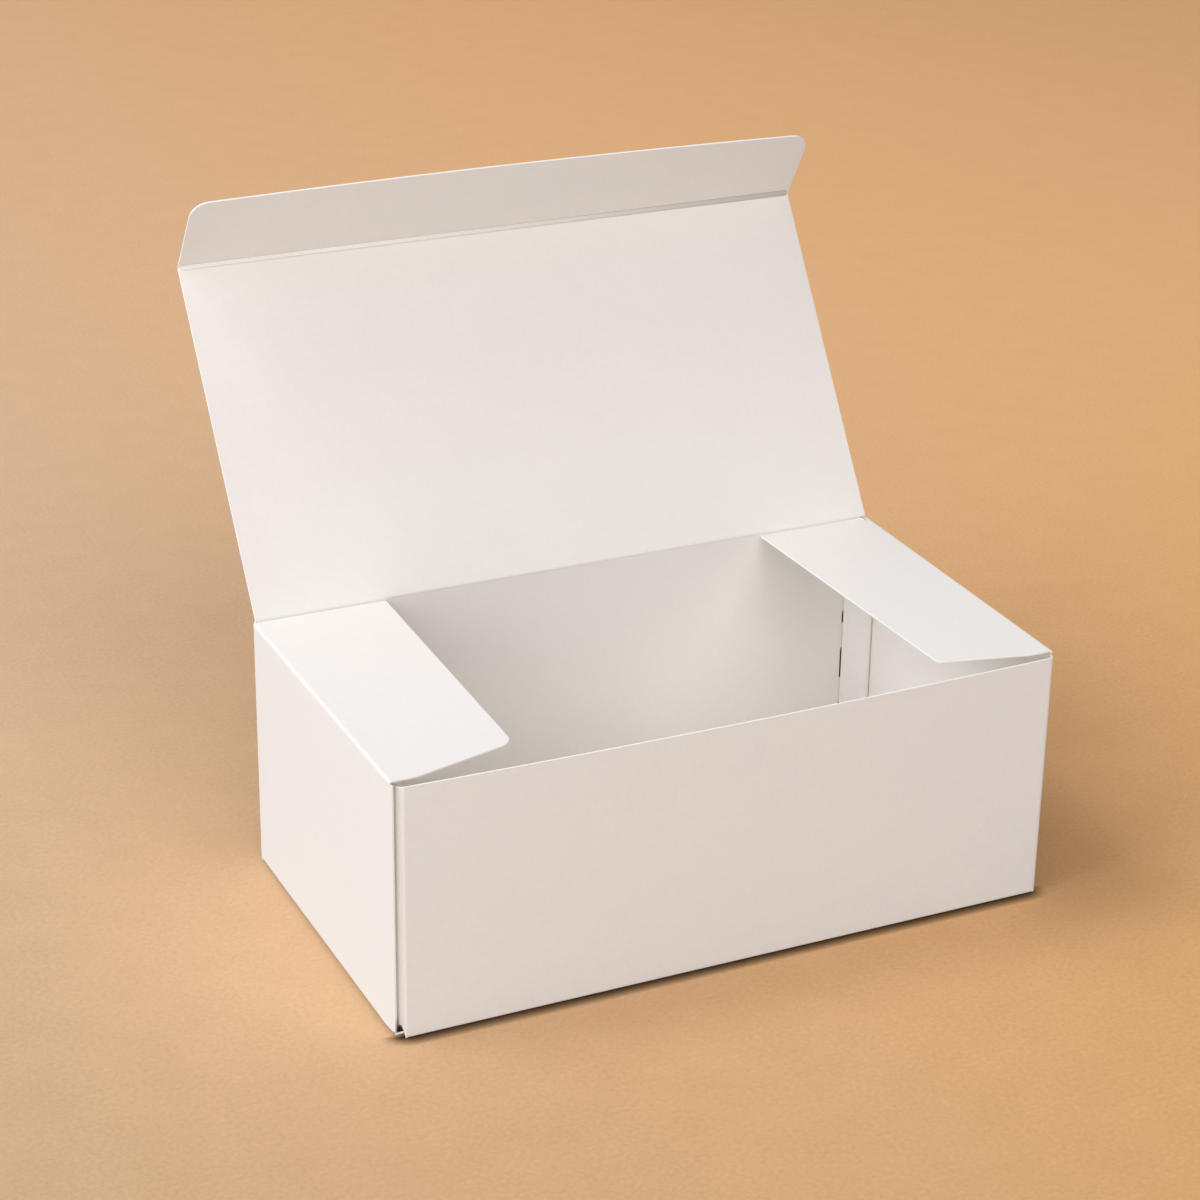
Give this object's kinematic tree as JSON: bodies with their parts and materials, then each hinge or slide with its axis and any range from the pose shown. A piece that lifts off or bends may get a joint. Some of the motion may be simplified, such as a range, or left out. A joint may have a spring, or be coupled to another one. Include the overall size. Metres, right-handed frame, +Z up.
{
  "type": "tuck-top takeaway carton",
  "caption": "Folded white paperboard takeaway carton with a hinged lid, a tuck flap on the lid and a dust flap on each end, standing open.",
  "frame": {"origin": "centre of the carton's footprint, on the surface that it stands on", "axes": "+X along the carton to the right-hand end, +Y from the front panel to the back panel with the lid's hinge, +Z up"},
  "size_m": [0.2, 0.1675, 0.1892],
  "materials": {
    "board": "matt white paperboard, uncoated feel, lighter at the cut edges"
  },
  "bodies": {
    "carton": {"front_shell": "board", "back_shell": "board"},
    "lid": {"lid": "board"},
    "tuck": {"tuck_flap": "board"},
    "left_flap": {"left_dust_flap": "board"},
    "right_flap": {"right_dust_flap": "board"}
  },
  "joints": [
    {"name": "lid_hinge", "type": "hinge", "parent": "carton", "child": "lid", "pos_m": [0, 0.05348, 0.07767], "axis": [-1, 0, 0], "range_deg": [-123.8, 56.2]},
    {"name": "tuck_fold", "type": "hinge", "parent": "lid", "child": "tuck", "pos_m": [0, 0.11177, 0.16476], "axis": [1, 0, 0], "range_deg": [-16, 35]},
    {"name": "left_dust_fold", "type": "hinge", "parent": "carton", "child": "left_flap", "pos_m": [-0.09972, 0, 0.07673], "axis": [0, -1, 0], "range_deg": [0, 180]},
    {"name": "right_dust_fold", "type": "hinge", "parent": "carton", "child": "right_flap", "pos_m": [0.09972, 0, 0.07673], "axis": [0, 1, 0], "range_deg": [0, 180]}
  ],
  "couplings": [
    {"joint": "tuck_fold", "follows": "lid_hinge", "ratio": -0.28}
  ]
}
